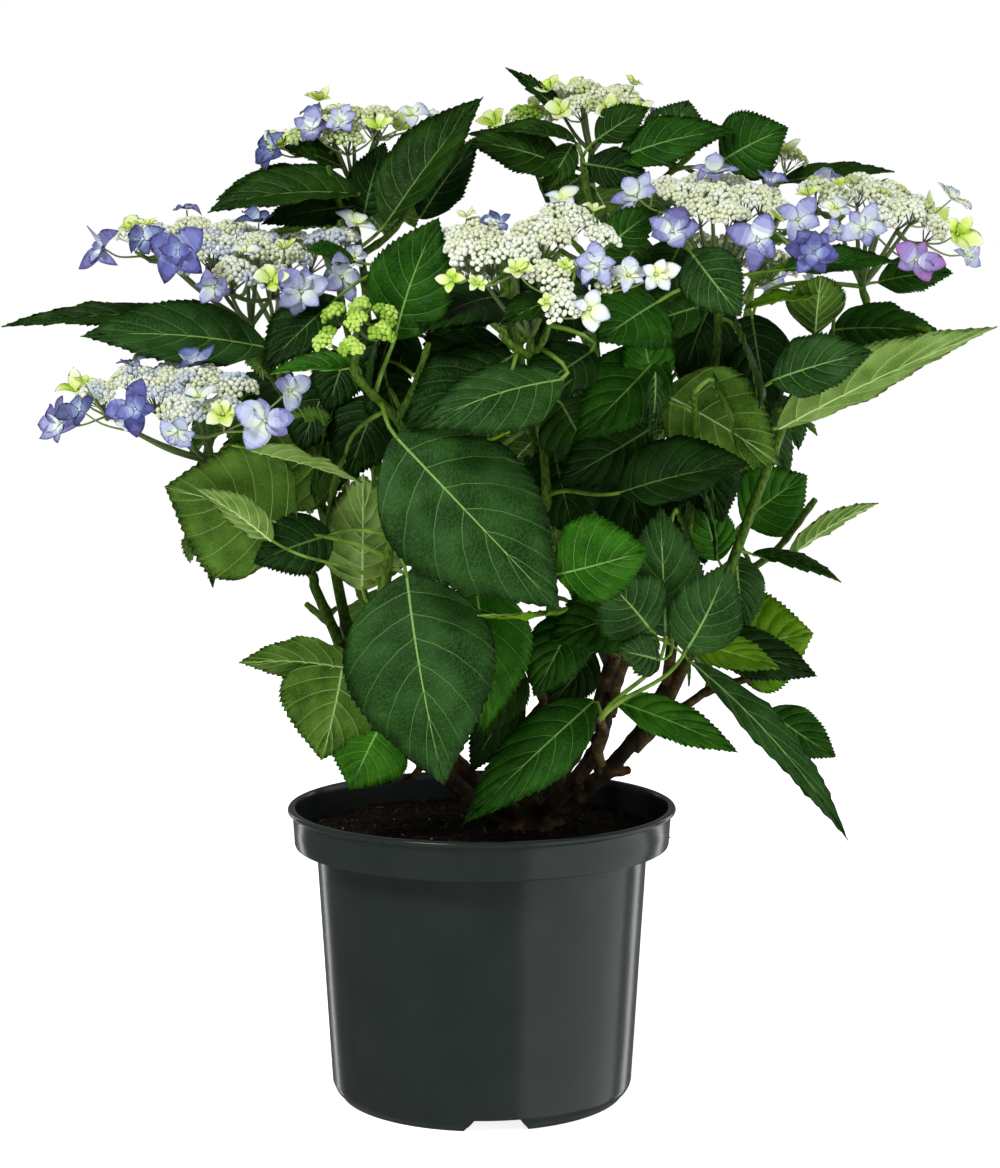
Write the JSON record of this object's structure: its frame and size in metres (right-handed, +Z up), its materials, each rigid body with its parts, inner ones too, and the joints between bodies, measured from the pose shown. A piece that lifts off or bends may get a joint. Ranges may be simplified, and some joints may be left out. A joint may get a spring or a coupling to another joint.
{
  "type": "potted lacecap hydrangea shrub",
  "caption": "Flowering garden shrub in a round nursery pot: woody boughs and green shoots carry masses of broad toothed leaves under flat lacecap flower heads.",
  "frame": {"origin": "centre of the pot's flat underside, on the foot pad under its floor", "axes": "+Z up from the pot's underside through the crown, +X to the right and +Y away from a viewer who faces the side with the lowest flower heads"},
  "size_m": [0.6976, 0.5073, 0.7467],
  "materials": {
    "pot": "satin",
    "soil": "matte",
    "bark": "matte",
    "stem": "satin",
    "foliage": "satin",
    "blossom": "matte"
  },
  "bodies": {
    "root": {"pot": "pot", "soil": "soil", "root_crown": "bark", "bough_left": "bark", "bough_front": "bark", "bough_front_right": "bark", "bough_right": "bark", "bough_back_left": "bark", "bough_back_right": "bark", "shoot_left_low": "stem", "shoot_left_mid": "stem", "shoot_bud": "stem", "shoot_left_foot": "stem", "shoot_centre": "stem", "shoot_front": "stem", "shoot_foot": "stem", "shoot_right_front": "stem", "shoot_right_inner": "stem", "shoot_right_outer": "stem", "shoot_right_low": "stem", "shoot_top_left": "stem", "shoot_back_left": "stem", "shoot_top_centre": "stem", "shoot_back_centre": "stem", "shoot_back_right": "stem", "foliage_left_outer": "foliage", "foliage_left_upper": "foliage", "foliage_top_left": "foliage", "foliage_top_centre": "foliage", "foliage_top_right": "foliage", "foliage_middle": "foliage", "foliage_centre": "foliage", "foliage_right_inner": "foliage", "foliage_right_outer": "foliage", "foliage_right_side": "foliage", "foliage_front_low": "foliage", "foliage_left_low": "foliage", "foliage_right_front": "foliage", "foliage_foot": "foliage", "foliage_right_low": "foliage", "foliage_back_left": "foliage", "foliage_back_centre": "foliage", "foliage_back_right": "foliage", "foliage_low_back_left": "foliage", "foliage_low_back_right": "foliage", "head_left_low": "blossom", "head_left_mid": "blossom", "head_left_small": "blossom", "head_top_left": "blossom", "head_top_centre": "blossom", "head_top_small": "blossom", "head_centre": "blossom", "head_right_mid": "blossom", "head_right_outer": "blossom", "head_right_back": "blossom", "head_bud": "blossom", "head_back_left": "blossom", "head_back_centre": "blossom", "head_back_right": "blossom"}
  },
  "joints": []
}
